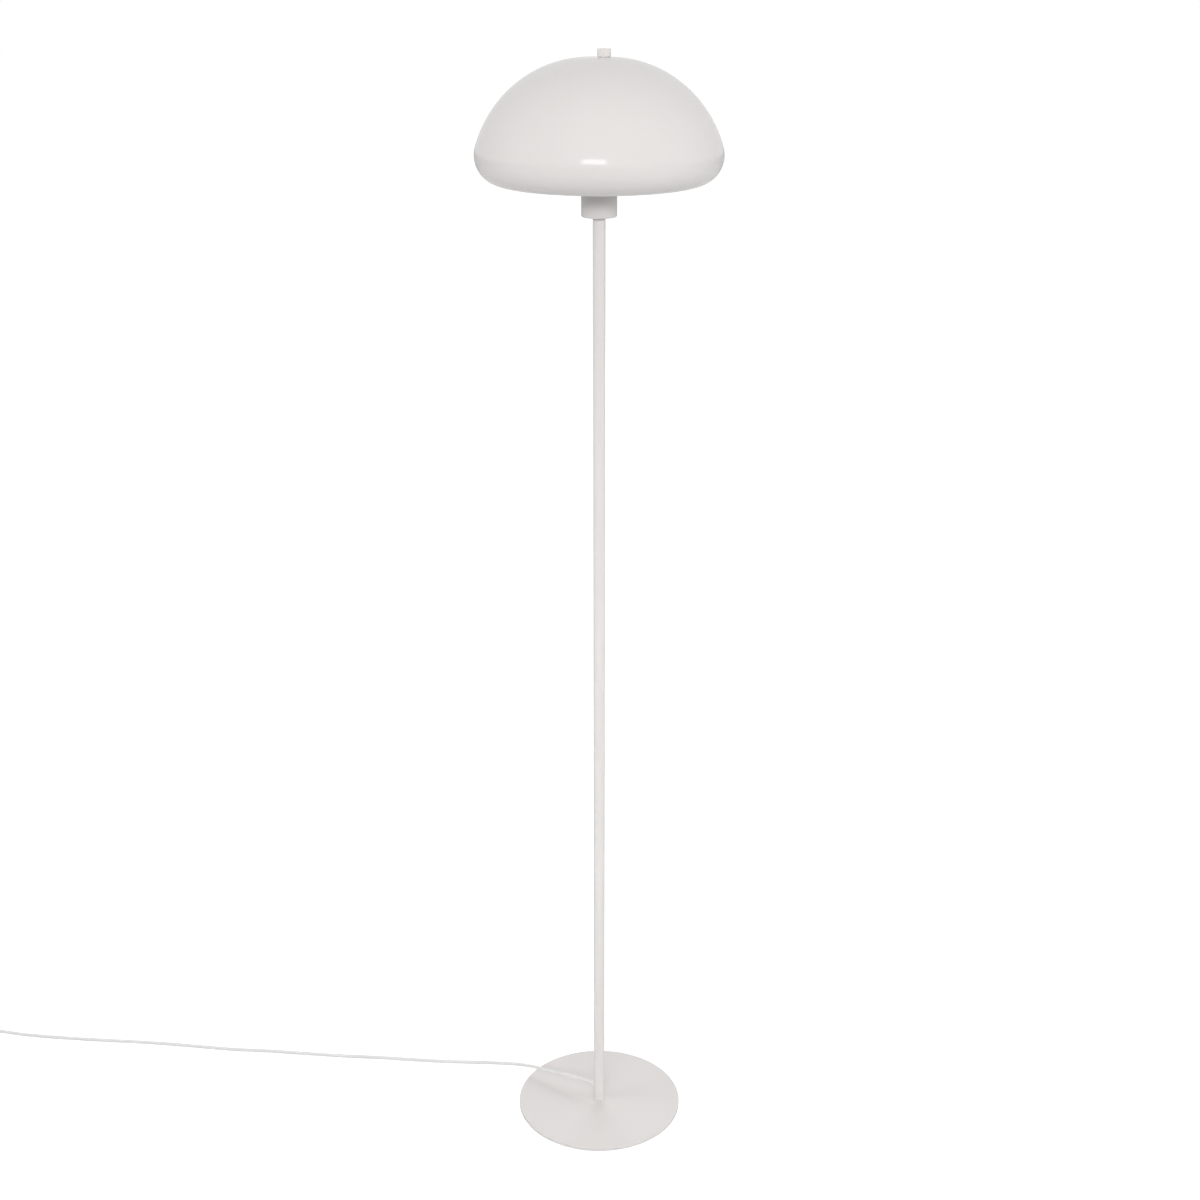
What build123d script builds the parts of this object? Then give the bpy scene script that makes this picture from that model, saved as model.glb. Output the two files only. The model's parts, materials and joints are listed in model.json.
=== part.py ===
from build123d import *
import math
import os

# A floor lamp with a mushroom-shaped metal shade: a flat round base, a pole of three tubes,
# a lampholder in a cup, and a strap bracket over the bulb that carries the shade.
# Millimetres, +Z up. The origin is on the floor, on the pole's axis.
# The front is -Y, and the mains cord leaves to the left, towards -X.

# ---- fits ----
fit_gap = 0.05  # radial gap between a piece and the hole that holds it
seat_gap = 0.3  # gap between pieces that move past each other

# ---- base ----
base_diameter = 240.0
base_thickness = 5.0
base_edge_round = 0.6
pad_thickness = 1.0
pad_margin = 3.0
base_screw_diameter = 8.0
base_screw_head_diameter = 16.0
base_screw_length = 22.0
base_screw_head_sink = 0.2
hex_socket_width = 5.0
hex_socket_depth = 3.0

# ---- pole ----
pole_diameter = 16.0
pole_wall = 1.2
pole_length = 1308.0
pole_sections = ["pole_lower", "pole_middle", "pole_upper"]
pole_end_chamfer = 0.15
coupler_length = 60.0
foot_bush_length = 18.0
top_bush_length = 20.0

# ---- cord and its exit from the pole ----
cord_diameter = 5.0
cord_exit_height = 23.0  # above the base plate
cord_exit_heading = 149.5  # degrees from +X, to the left and a little to the back
inner_bend_radius = 5.5
cord_first_run = 29.0
cable_way = 6.4  # bore that the cord passes through inside the pole
grommet_flange_diameter = 9.0
grommet_flange_thickness = 0.8
grommet_neck_diameter = 7.4
grommet_neck_depth = 0.8  # how far the neck reaches in past the tube's wall

# ---- cup, nipple and lampholder ----
spacer_diameter = 14.6
spacer_height = 3.0
cup_diameter = 45.0
cup_height = 62.0
cup_wall = 1.0
cup_edge_round = 2.0
nipple_diameter = 10.0
nipple_bore = 7.0
nipple_below_pole_top = 16.0
lock_washer_diameter = 18.0
lock_washer_thickness = 0.8
nut_width = 14.0
nut_height = 3.0
holder_clearance = 0.7  # between the nut and the lampholder's neck
holder_diameter = 36.0
holder_wall = 2.0
holder_neck_diameter = 16.0
holder_neck_height = 7.0
holder_shoulder_height = 7.0
holder_cap_skirt = 10.0
holder_sleeve_height = 30.0
contact_block_height = 12.0
contact_block_drop = 8.0  # how far the block reaches down into the cap
terminal_spread = 8.0
terminal_head_diameter = 5.0
terminal_head_height = 2.5
terminal_slot_width = 0.8
terminal_slot_depth = 0.8
terminal_shank_diameter = 3.0
terminal_shank_length = 6.0
wire_diameter = 1.8
wire_spread = 1.2
contact_strip_thickness = 0.6
contact_strip_width = 4.0
shell_wall = 0.5

# ---- bulb ----
bulb_cap_diameter = 26.2
bulb_cap_length = 23.0
bulb_cap_wall = 0.5
bulb_thread_pitch = 3.63
bulb_thread_turns = 4
bulb_thread_depth = 0.7
bulb_thread_round = 1.3
bulb_tip_diameter = 9.0
bulb_tip_height = 1.2
bulb_insulator_height = 2.4
bulb_glass_diameter = 60.0
bulb_shoulder_diameter = 29.0
bulb_glass_wall = 0.8
bulb_length = 104.0
bulb_neck_sunk = 7.0  # how far the glass reaches into the cap
bulb_rise = 0.2  # gap between the bulb's tip and the centre contact

# ---- shade bracket ----
strap_width = 10.0
strap_thickness = 1.5
strap_bend_radius = 3.0
strap_reach = 38.0  # from the axis to the middle of the strap beside the bulb
strap_flare_start = 6.0  # above the cup's rim
strap_flare_height = 28.0
strap_shoulder_drop = 26.0
strap_shoulder_reach = 20.0
strap_bow_radius = 12.0
bracket_height = 188.6  # from the cup's bottom to the strap's top
saddle_diameter = 24.0
stud_pad_diameter = 20.0
stud_diameter = 6.0
stud_head_diameter = 10.0
stud_head_height = 1.5
stud_in_finial = 6.5

# ---- shade and finial ----
shade_wall = 1.0
shade_land_radius = 16.0  # flat round land on the crown, where the finial sits
shade_crown_radius = 125.0
shade_crown_angle = 10.0  # slope of the outline where each arc ends, in degrees
shade_dome_radius = 146.5
shade_dome_angle = 74.0
shade_rim_radius = 34.6
shade_rim_angle = 200.0
stud_hole_gap = 0.3
finial_offset = 6.0  # the stud and finial stand this far to the right of the axis
seat_washer_diameter = 18.0
seat_washer_thickness = 1.0
finial_washer_diameter = 15.0
finial_washer_thickness = 0.8
finial_diameter = 17.0
finial_height = 9.0
finial_chamfer = 0.4
finial_bore_depth = 7.0

# ---- plug ----
plug_width = 35.3
plug_height = 13.7
plug_length = 34.0
plug_back_width = 18.0
plug_back_height = 11.0
plug_corner = 5.0
plug_corner_limit = 0.45  # of the plug's height, where it is too low for the full corner
plug_sleeve_length = 24.0
pin_diameter = 4.0
pin_length = 19.0
pin_spacing = 18.6
pin_depth = 10.0
pin_sleeve_length = 10.0
pin_sleeve_diameter = 3.6
pin_core_diameter = 3.0

# ---- route of the cord on the floor ----
cord_floor_gap = 0.1
cord_lay = cord_diameter / 2 + cord_floor_gap  # height of the cord's middle on the floor
arc_share = 0.45  # how much of a run the arc at each of its ends may take
cord_to_switch = [
    (-70.7, 41.6, 22.5),
    (-110, 64.5, 18.5),
    (-150, 85, 7),
    (-190, 94, cord_lay),
    (-238, 95.5, cord_lay),
    (-295, 101, cord_lay),
    (-350, 107, cord_lay),
    (-404, 110.5, cord_lay),
    (-462, 117, cord_lay),
    (-520, 124, cord_lay),
    (-572, 127, cord_lay),
    (-626, 134.5, cord_lay),
    (-684, 143, cord_lay),
    (-742, 149, cord_lay),
    (-800, 153.5, cord_lay),
    (-862, 160, cord_lay),
    (-918, 167.5, cord_lay),
]
cord_to_coil = [
    (-1163, 184, 3.6),
    (-1165, 155, cord_lay),
    (-1145, 134, cord_lay),
]
coil_start = (-1118, 134)  # where the cord runs into the coil, heading +X
coil_turns = 4
coil_outer_radius = 33.0  # to the middle of the cord
coil_pitch = 5.6
coil_layer_rise = 5.6
coil_climb_turns = 0.5  # part of a turn in which the cord climbs to the upper layer
coil_climb_steepness = 1.5  # slope at the middle of that climb, over its average slope
gap_samples = 900
coil_to_plug = [
    (-1082, 134, cord_lay + coil_layer_rise),
    (-1063, 114, plug_height / 2),
]
plug_position = (-1063, 88)  # where the cord meets the plug, heading -Y

# ---- foot switch ----
switch_end = (-1003, 180.5)  # where the cord meets the switch's near sleeve
switch_heading = 171.0
switch_length = 74.0
switch_width = 42.0
switch_base_height = 10.0
switch_cover_height = 9.0
switch_wall = 2.0
switch_edge_round = 2.5
switch_cord_height = 5.5
switch_approach = 42.0  # straight length of cord before the near sleeve
switch_leave = 25.0
button_diameter = 22.0
button_travel = 3.5
button_stand = 5.0
button_flange = 1.5
button_flange_thickness = 1.5
button_edge_round = 1.2
spring_diameter = 12.0
spring_wire = 0.9
spring_turns = 4
switch_block_length = 26.0
switch_block_width = 20.0
switch_block_height = 5.0
switch_contact_width = 5.0
switch_contact_length = 20.0
switch_contact_thickness = 0.6
switch_contact_spread = 6.0
switch_screw_diameter = 3.0
switch_screw_head = 5.5
switch_screw_x = 18.0
switch_screw_y = 14.5
switch_screw_sink = 0.2
switch_screw_reach = 5.0  # above the base's rim
switch_post_diameter = 7.0
sleeve_length = 20.0
sleeve_large = 10.0
sleeve_small = 7.0

# ---- places worked out from the sizes above ----
plate_top = pad_thickness + base_thickness
pole_bore = pole_diameter - 2 * pole_wall
pole_top = plate_top + pole_length
cord_exit_z = plate_top + cord_exit_height
cord_exit_reach = pole_diameter / 2 + grommet_flange_thickness
cup_bottom = pole_top + spacer_height
cup_top = cup_bottom + cup_height
saddle_bottom = cup_bottom + cup_wall
lock_washer_bottom = saddle_bottom + strap_thickness
nut_bottom = lock_washer_bottom + lock_washer_thickness
holder_bottom = nut_bottom + nut_height + holder_clearance
holder_shoulder = holder_bottom + holder_neck_height
holder_skirt_bottom = holder_shoulder + holder_shoulder_height
sleeve_bottom = holder_skirt_bottom + holder_cap_skirt
sleeve_top = sleeve_bottom + holder_sleeve_height
block_bottom = sleeve_bottom - contact_block_drop
block_top = block_bottom + contact_block_height
cable_top = holder_shoulder + 2 * holder_wall
centre_contact_top = block_top + 3 * contact_strip_thickness
bulb_bottom = centre_contact_top + bulb_rise
bulb_cap_bottom = bulb_bottom + bulb_tip_height + bulb_insulator_height
bulb_cap_top = bulb_cap_bottom + bulb_cap_length
bulb_top = bulb_bottom + bulb_length
shell_inner_diameter = bulb_cap_diameter + 2 * seat_gap
shell_diameter = shell_inner_diameter + 2 * shell_wall
bracket_top = cup_bottom + bracket_height
strap_top_bottom = bracket_top - strap_thickness
shade_inside_top = bracket_top + seat_washer_thickness
shade_top = shade_inside_top + shade_wall
finial_washer_bottom = shade_top
finial_bottom = finial_washer_bottom + finial_washer_thickness
stud_top = finial_bottom + stud_in_finial


# ---- helpers ----
def disc(diameter, bottom, height):
    standing = (Align.CENTER, Align.CENTER, Align.MIN)
    return Pos(0, 0, bottom) * Cylinder(diameter / 2, height, align=standing)


def ring(outer, inner, bottom, height):
    return disc(outer, bottom, height) - disc(inner, bottom, height)


def hexagon(width, bottom, height):
    return extrude(Pos(0, 0, bottom) * RegularPolygon(width / 2, 6, major_radius=False), height)


def bar(length, width, height):
    """A block that stands on the ground plane, centred on the axis."""
    return Box(length, width, height, align=(Align.CENTER, Align.CENTER, Align.MIN))


def turned(*points):
    """A solid of revolution about the pole's axis, from (radius, height) points."""
    outline = Polyline(*[(r, 0, z) for r, z in points], close=True)
    return revolve(make_face(outline), Axis.Z)


def radial_bar(diameter, start, end):
    """A round bar that points out of the pole at the cord's exit."""
    lying = (Align.CENTER, Align.CENTER, Align.MIN)
    bar = Pos(start, 0, 0) * Rot(0, 90, 0) * Cylinder(diameter / 2, end - start, align=lying)
    return Pos(0, 0, cord_exit_z) * Rot(0, 0, cord_exit_heading) * bar


def heading_vector(heading):
    return Vector(math.cos(math.radians(heading)), math.sin(math.radians(heading)), 0)


def corner_radii(points):
    """The largest even arc at each corner of a route, by its shorter run."""
    radii = []
    for before, corner, after in zip(points, points[1:], points[2:]):
        into = corner - before
        out = after - corner
        half_turn = math.radians(into.get_angle(out)) / 2
        radii.append(arc_share * min(into.length, out.length) / math.tan(half_turn))
    return radii


def cord_tube(name, points):
    """A round cord along straight runs joined by tangent arcs."""
    points = [Vector(*p) for p in points]
    radii = corner_radii(points)
    path = FilletPolyline(*points, radius=radii)
    section = Plane(points[0], z_dir=points[1] - points[0]) * Circle(cord_diameter / 2)
    tube = sweep(section, path)
    area = math.pi * cord_diameter**2 / 4
    print(f"{name}: length {path.length:.1f}, smallest arc {min(radii):.1f}")
    print(f"{name}: volume over section times length {tube.volume / (area * path.length):.4f}")
    return tube


def placed(solid, position, heading):
    """A piece built along +X from the origin, laid at a place on the floor."""
    return Pos(position[0], position[1], 0) * Rot(0, 0, heading) * solid


# ---- base ----
def base_pad():
    hole = base_screw_head_diameter + 2 * pad_margin
    return ring(base_diameter - 2 * pad_margin, hole, 0, pad_thickness)


def screw_body(gap):
    """The countersunk base screw, or its hole when gap is above zero."""
    head = base_screw_head_diameter / 2 + gap
    shank = base_screw_diameter / 2 + gap
    low = pad_thickness + base_screw_head_sink - gap
    high = low + base_screw_length
    return turned((0, low), (head, low), (shank, low + head - shank), (shank, high), (0, high))


def base_plate():
    plate = disc(base_diameter, pad_thickness, base_thickness)
    rims = plate.edges().filter_by(GeomType.CIRCLE)
    plate = fillet(rims, base_edge_round)
    return plate - screw_body(base_screw_head_sink)


def base_screw():
    return screw_body(0) - hexagon(hex_socket_width, pad_thickness + base_screw_head_sink, hex_socket_depth)


# ---- pole ----
def pole_section(index):
    length = pole_length / len(pole_sections)
    bottom = plate_top + index * length
    rod = disc(pole_diameter, bottom, length)
    rod = chamfer(rod.edges().filter_by(GeomType.CIRCLE), pole_end_chamfer)
    tube = rod - disc(pole_bore, bottom, length)
    if index == 0:
        tube -= radial_bar(grommet_neck_diameter + 2 * fit_gap, 0, pole_diameter)
    return tube


def pole_foot_bush():
    outer = pole_bore - 2 * fit_gap
    return ring(outer, base_screw_diameter + 2 * fit_gap, plate_top, foot_bush_length)


def pole_coupler(joint):
    middle = plate_top + joint * pole_length / len(pole_sections)
    return ring(pole_bore - 2 * fit_gap, cable_way, middle - coupler_length / 2, coupler_length)


def pole_top_bush():
    bore = nipple_diameter + 2 * fit_gap
    return ring(pole_bore - 2 * fit_gap, bore, pole_top - top_bush_length, top_bush_length)


def cable_grommet():
    flange = radial_bar(grommet_flange_diameter, 0, cord_exit_reach)
    flange -= disc(pole_diameter, 0, 2 * cord_exit_z)
    neck = radial_bar(grommet_neck_diameter, pole_bore / 2 - grommet_neck_depth, cord_exit_reach)
    return flange + neck - radial_bar(cord_diameter + 2 * fit_gap, 0, pole_diameter)


def pole_cable():
    exit_face = heading_vector(cord_exit_heading) * cord_exit_reach + Vector(0, 0, cord_exit_z)
    corners = [exit_face, (0, 0, cord_exit_z), (0, 0, cable_top)]
    route = FilletPolyline(*corners, radius=inner_bend_radius)
    section = Plane(exit_face, z_dir=-heading_vector(cord_exit_heading)) * Circle(cord_diameter / 2)
    return sweep(section, route)


# ---- cup and lampholder ----
def top_spacer():
    return ring(spacer_diameter, nipple_diameter + 2 * fit_gap, pole_top, spacer_height)


def cup():
    outside = disc(cup_diameter, cup_bottom, cup_height)
    outside = fillet(outside.edges().group_by(Axis.Z)[0], cup_edge_round)
    inside = disc(cup_diameter - 2 * cup_wall, saddle_bottom, cup_height)
    inside = fillet(inside.edges().group_by(Axis.Z)[0], cup_edge_round - cup_wall)
    return outside - inside - disc(nipple_diameter + 2 * fit_gap, cup_bottom, cup_wall)


def nipple():
    bottom = pole_top - nipple_below_pole_top
    return ring(nipple_diameter, nipple_bore, bottom, holder_shoulder + holder_wall - bottom)


def lock_washer():
    bore = nipple_diameter + 2 * fit_gap
    return ring(lock_washer_diameter, bore, lock_washer_bottom, lock_washer_thickness)


def nipple_nut():
    bore = disc(nipple_diameter + 2 * fit_gap, nut_bottom, nut_height)
    return hexagon(nut_width, nut_bottom, nut_height) - bore


def holder_cap():
    bore = nipple_diameter / 2 + fit_gap
    neck = holder_neck_diameter / 2
    skirt = holder_diameter / 2
    inside = skirt - holder_wall
    floor = holder_shoulder + holder_wall
    return turned(
        (bore, holder_bottom),
        (neck, holder_bottom),
        (neck, holder_shoulder),
        (skirt, holder_skirt_bottom),
        (skirt, sleeve_bottom),
        (inside, sleeve_bottom),
        (inside, holder_skirt_bottom + holder_wall),
        (neck - holder_wall / 2, floor),
        (bore, floor),
    )


def holder_sleeve():
    skirt = holder_diameter / 2
    seat = skirt - holder_wall
    bore = shell_diameter / 2 + fit_gap
    return turned(
        (seat, sleeve_bottom),
        (skirt, sleeve_bottom),
        (skirt, sleeve_top),
        (bore, sleeve_top),
        (bore, block_top + fit_gap),
        (seat, block_top + fit_gap),
    )


def contact_block():
    block = disc(holder_diameter - 2 * holder_wall - 2 * fit_gap, block_bottom, contact_block_height)
    for side in (-1, 1):
        shank = disc(terminal_shank_diameter + 2 * fit_gap, block_bottom, terminal_shank_length + seat_gap)
        block -= Pos(side * terminal_spread, 0, 0) * shank
    return block


def terminal_screws():
    head = disc(terminal_head_diameter, block_bottom - terminal_head_height, terminal_head_height)
    slot = Pos(0, 0, block_bottom - terminal_head_height)
    slot *= Box(terminal_head_diameter, terminal_slot_width, 2 * terminal_slot_depth)
    screw = head - slot + disc(terminal_shank_diameter, block_bottom, terminal_shank_length)
    return Compound([Pos(side * terminal_spread, 0, 0) * screw for side in (-1, 1)])


def wire_ends():
    wire = disc(wire_diameter, cable_top, block_bottom - cable_top)
    return Compound([Pos(0, side * wire_spread, 0) * wire for side in (-1, 1)])


def centre_contact():
    foot = Pos(0, 0, block_top) * bar(2 * contact_strip_width, contact_strip_width, contact_strip_thickness)
    return foot + disc(contact_strip_width, block_top, centre_contact_top - block_top)


def side_contact():
    inner = shell_inner_diameter - 4 * contact_strip_thickness
    tab = bar(2 * contact_strip_width, contact_strip_width, contact_strip_thickness)
    tab = Pos(shell_inner_diameter / 2, 0, block_top) * tab
    return ring(shell_diameter, inner, block_top, contact_strip_thickness) & tab


def threaded_shell():
    bottom = block_top + contact_strip_thickness
    return ring(shell_diameter, shell_inner_diameter, bottom, sleeve_top - holder_wall - bottom)


# ---- bulb ----
def bulb_tip():
    return disc(bulb_tip_diameter, bulb_bottom, bulb_tip_height)


def bulb_insulator():
    low = bulb_bottom + bulb_tip_height
    wide = bulb_cap_diameter / 2 - bulb_cap_wall
    return turned((0, low), (bulb_tip_diameter / 2, low), (wide, bulb_cap_bottom), (0, bulb_cap_bottom))


def bulb_cap():
    can = disc(bulb_cap_diameter, bulb_cap_bottom, bulb_cap_length)
    first = bulb_cap_bottom + bulb_thread_pitch
    groove = Torus(bulb_cap_diameter / 2 + bulb_thread_round - bulb_thread_depth / 2, bulb_thread_round)
    for turn in range(bulb_thread_turns):
        can -= Pos(0, 0, first + turn * bulb_thread_pitch) * groove
    inner = bulb_cap_diameter - 2 * (bulb_cap_wall + bulb_thread_depth)
    return can - disc(inner, bulb_cap_bottom + bulb_cap_wall, bulb_cap_length)


def bulb_glass_solid(inset):
    """The bulb's pear-shaped glass, drawn in all round by inset."""
    ball = bulb_glass_diameter / 2
    middle = bulb_top - ball
    neck = bulb_cap_diameter / 2 - bulb_cap_wall - bulb_thread_depth - fit_gap
    shoulder = bulb_shoulder_diameter / 2
    low = bulb_cap_top + fit_gap
    drop = middle - low
    touch = math.atan2(shoulder, drop) + math.acos(ball / math.hypot(shoulder, drop))

    def on_ball(angle):
        reach = ball - inset
        return (reach * math.sin(angle), 0, middle - reach * math.cos(angle))

    dome = ThreePointArc(on_ball(math.pi), on_ball((math.pi + touch) / 2), on_ball(touch))
    flank = Polyline(
        on_ball(touch),
        (shoulder - inset, 0, low + inset),
        (neck - inset, 0, low + inset),
        (neck - inset, 0, bulb_cap_top - bulb_neck_sunk),
        (0, 0, bulb_cap_top - bulb_neck_sunk),
        on_ball(math.pi),
    )
    return revolve(make_face([dome, flank]), Axis.Z)


def bulb_glass():
    return bulb_glass_solid(0) - bulb_glass_solid(bulb_glass_wall)


# ---- shade bracket ----
def shade_bracket():
    low = saddle_bottom + strap_thickness / 2
    high = bracket_top - strap_thickness / 2
    foot = (holder_diameter / 2 + holder_clearance) + strap_thickness / 2
    flare = cup_top + strap_flare_start
    side = [
        (foot, low),
        (foot, flare),
        (strap_reach, flare + strap_flare_height),
        (strap_reach, high - strap_shoulder_drop),
        (strap_shoulder_reach, high),
    ]
    radii = [strap_bend_radius] + [strap_bow_radius] * 4
    halves = []
    for way in (-1, 1):
        points = [(0, 0, low)] + [(way * x, 0, z) for x, z in side] + [(0, 0, high)]
        path = FilletPolyline(*points, radius=radii)
        across = Plane((0, 0, low), x_dir=(0, 1, 0), z_dir=(way, 0, 0))
        halves.append(sweep(across * Rectangle(strap_width, strap_thickness), path))
    strap = halves[0] + halves[1]
    strap += disc(saddle_diameter, saddle_bottom, strap_thickness)
    strap += Pos(finial_offset, 0, 0) * disc(stud_pad_diameter, strap_top_bottom, strap_thickness)
    strap -= disc(nipple_diameter + 2 * fit_gap, saddle_bottom, strap_thickness)
    stud_hole = disc(stud_diameter + 2 * fit_gap, strap_top_bottom, strap_thickness)
    return strap - Pos(finial_offset, 0, 0) * stud_hole


def bracket_stud():
    head = disc(stud_head_diameter, strap_top_bottom - stud_head_height, stud_head_height)
    shank = disc(stud_diameter, strap_top_bottom, stud_top - strap_top_bottom)
    shank = chamfer(shank.edges().group_by(Axis.Z)[-1], finial_chamfer)
    return Pos(finial_offset, 0, 0) * (head + shank)


def seat_washer():
    bore = stud_diameter + 2 * fit_gap
    washer = ring(seat_washer_diameter, bore, bracket_top, seat_washer_thickness)
    return Pos(finial_offset, 0, 0) * washer


# ---- shade and finial ----
def shade_outline(inset):
    """One side of the shade's section from the axis to the rim, inset from the outer face."""
    x = shade_land_radius
    z = shade_top - inset
    lines = [Line((0, 0, z), (x, 0, z))]
    slope = 0.0
    arcs = [
        (shade_crown_radius, shade_crown_angle),
        (shade_dome_radius, shade_dome_angle),
        (shade_rim_radius, shade_rim_angle),
    ]
    for radius, end in arcs:
        radius -= inset
        middle_x = x - radius * math.sin(math.radians(slope))
        middle_z = z - radius * math.cos(math.radians(slope))
        stops = []
        for angle in (slope, (slope + end) / 2, end):
            turn = math.radians(angle)
            stops.append((middle_x + radius * math.sin(turn), 0, middle_z + radius * math.cos(turn)))
        lines.append(ThreePointArc(*stops))
        x, _, z = stops[-1]
        slope = end
    return lines, (x, 0, z)


def shade():
    outer, outer_end = shade_outline(0)
    inner, inner_end = shade_outline(shade_wall)
    closing = [Line(outer_end, inner_end), Line((0, 0, shade_top), (0, 0, shade_top - shade_wall))]
    shell = revolve(make_face(outer + inner + closing), Axis.Z)
    hole = disc(stud_diameter + 2 * stud_hole_gap, shade_top - shade_wall, shade_wall)
    return shell - Pos(finial_offset, 0, 0) * hole


def finial_washer():
    bore = stud_diameter + 2 * stud_hole_gap
    washer = ring(finial_washer_diameter, bore, finial_washer_bottom, finial_washer_thickness)
    return Pos(finial_offset, 0, 0) * washer


def finial():
    nut = disc(finial_diameter, finial_bottom, finial_height)
    nut = chamfer(nut.edges(), finial_chamfer)
    nut -= disc(stud_diameter + 2 * fit_gap, finial_bottom, finial_bore_depth)
    return Pos(finial_offset, 0, 0) * nut


# ---- foot switch, built along +X from its near end and laid at its place ----
switch_near = sleeve_length
switch_middle = switch_near + switch_length / 2
switch_far = switch_near + switch_length
switch_top = switch_base_height + switch_cover_height
button_top = switch_top + button_stand
flange_top = switch_top - switch_wall - seat_gap
flange_bottom = flange_top - button_flange_thickness
switch_block_top = switch_wall + switch_block_height
spring_bottom = switch_block_top + switch_contact_thickness


def at_switch(solid):
    return placed(solid, switch_end, switch_heading)


def at_switch_middle(solid):
    return Pos(switch_middle, 0, 0) * solid


def switch_slab(inset, bottom, height):
    outline = SlotOverall(switch_length - 2 * inset, switch_width - 2 * inset)
    return at_switch_middle(extrude(Pos(0, 0, bottom) * outline, height))


def switch_cord_hole():
    hole = Cylinder(cord_diameter / 2 + fit_gap, switch_length)
    return Pos(switch_middle, 0, switch_cord_height) * Rot(0, 90, 0) * hole


def at_switch_corners(solid):
    """Copies of a solid at the two screws, which stand at opposite corners."""
    spread = [(way * switch_screw_x, way * switch_screw_y) for way in (-1, 1)]
    return [at_switch_middle(Pos(x, y, 0) * solid) for x, y in spread]


def switch_base():
    tray = switch_slab(0, 0, switch_base_height)
    tray = fillet(tray.edges().group_by(Axis.Z)[0], switch_wall / 2)
    tray -= switch_slab(switch_wall, switch_wall, switch_base_height)
    tray += at_switch_corners(disc(switch_post_diameter, switch_wall, switch_base_height - switch_wall))
    tray -= at_switch_corners(disc(switch_screw_diameter + 2 * fit_gap, 0, switch_base_height))
    tray -= at_switch_corners(disc(switch_screw_head + 2 * fit_gap, 0, switch_wall / 2))
    return at_switch(tray - switch_cord_hole())


def switch_cover():
    room = switch_cover_height - switch_wall
    lid = switch_slab(0, switch_base_height, switch_cover_height)
    lid = fillet(lid.edges().group_by(Axis.Z)[-1], switch_edge_round)
    lid -= switch_slab(switch_wall, switch_base_height, room)
    lid += at_switch_corners(disc(switch_post_diameter, switch_base_height, room))
    thread = disc(switch_screw_diameter + 2 * fit_gap, switch_base_height, switch_screw_reach)
    lid -= at_switch_corners(thread)
    opening = disc(button_diameter + 2 * seat_gap, switch_base_height, switch_cover_height)
    return at_switch(lid - at_switch_middle(opening))


def switch_screws():
    head_top = switch_wall / 2
    shank_top = switch_base_height + switch_screw_reach - seat_gap
    head = disc(switch_screw_head, switch_screw_sink, head_top - switch_screw_sink)
    screw = head + disc(switch_screw_diameter, head_top, shank_top - head_top)
    return Compound([at_switch(s) for s in at_switch_corners(screw)])


def switch_button():
    cap = disc(button_diameter, flange_bottom, button_top - flange_bottom)
    cap = fillet(cap.edges().group_by(Axis.Z)[-1], button_edge_round)
    flange_diameter = button_diameter + 2 * seat_gap + 2 * button_flange
    flange = disc(flange_diameter, flange_bottom, button_flange_thickness)
    hollow = disc(button_diameter - 2 * switch_wall, flange_bottom, button_flange_thickness)
    return at_switch(at_switch_middle(cap + flange - hollow))


def switch_spring():
    bottom = spring_bottom + spring_wire / 2 + fit_gap
    height = flange_top - spring_wire / 2 - fit_gap - bottom
    coil = Pos(0, 0, bottom) * Helix(height / spring_turns, height, spring_diameter / 2)
    section = Plane(coil @ 0, z_dir=coil % 0) * Circle(spring_wire / 2)
    return at_switch(at_switch_middle(sweep(section, coil, is_frenet=True)))


def switch_block():
    block = bar(switch_block_length, switch_block_width, switch_block_height)
    return at_switch(at_switch_middle(Pos(0, 0, switch_wall) * block))


def switch_contacts():
    strip = bar(switch_contact_length, switch_contact_width, switch_contact_thickness)
    strips = [Pos(0, side * switch_contact_spread, switch_block_top) * strip for side in (-1, 1)]
    return Compound([at_switch(at_switch_middle(s)) for s in strips])


def cord_sleeve(length, height):
    """A tapered sleeve along +X, small where the cord comes in, large against its housing."""
    cone = Cone(sleeve_small / 2, sleeve_large / 2, length, align=(Align.CENTER, Align.CENTER, Align.MIN))
    return Pos(0, 0, height) * Rot(0, 90, 0) * cone


def switch_sleeves():
    """Both sleeves, each with the end of the cord that it holds inside the switch."""
    inside = (switch_length - switch_block_length) / 2
    core = Cylinder(cord_diameter / 2, inside, align=(Align.CENTER, Align.CENTER, Align.MIN))
    core = Pos(switch_near, 0, switch_cord_height) * Rot(0, 90, 0) * core
    near = cord_sleeve(switch_near, switch_cord_height) + core
    far = Pos(2 * switch_middle, 0, 0) * Rot(0, 0, 180) * near
    return Compound([at_switch(near), at_switch(far)])


# ---- plug, built along +X from where the cord meets it ----
plug_face = plug_sleeve_length + plug_length


def at_plug(solid):
    return placed(solid, plug_position, -90)


def plug_section(place, width, height):
    outline = RectangleRounded(height, width, min(plug_corner, plug_corner_limit * height))
    return Plane((place, 0, plug_height / 2), z_dir=(1, 0, 0)) * outline


def at_pins(solid):
    """Copies of a solid that stands on +Z, turned along +X at each pin."""
    places = [(side * pin_spacing / 2, plug_height / 2) for side in (-1, 1)]
    return [at_plug(Pos(plug_face, y, z) * Rot(0, 90, 0) * solid) for y, z in places]


def plug_body():
    back = plug_section(plug_sleeve_length, plug_back_width, plug_back_height)
    face = plug_section(plug_face, plug_width, plug_height)
    body = at_plug(loft([back, face]))
    body -= at_pins(disc(pin_diameter + 2 * fit_gap, -pin_depth, pin_depth))
    return body


def plug_sleeve():
    return at_plug(cord_sleeve(plug_sleeve_length, plug_height / 2))


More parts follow.
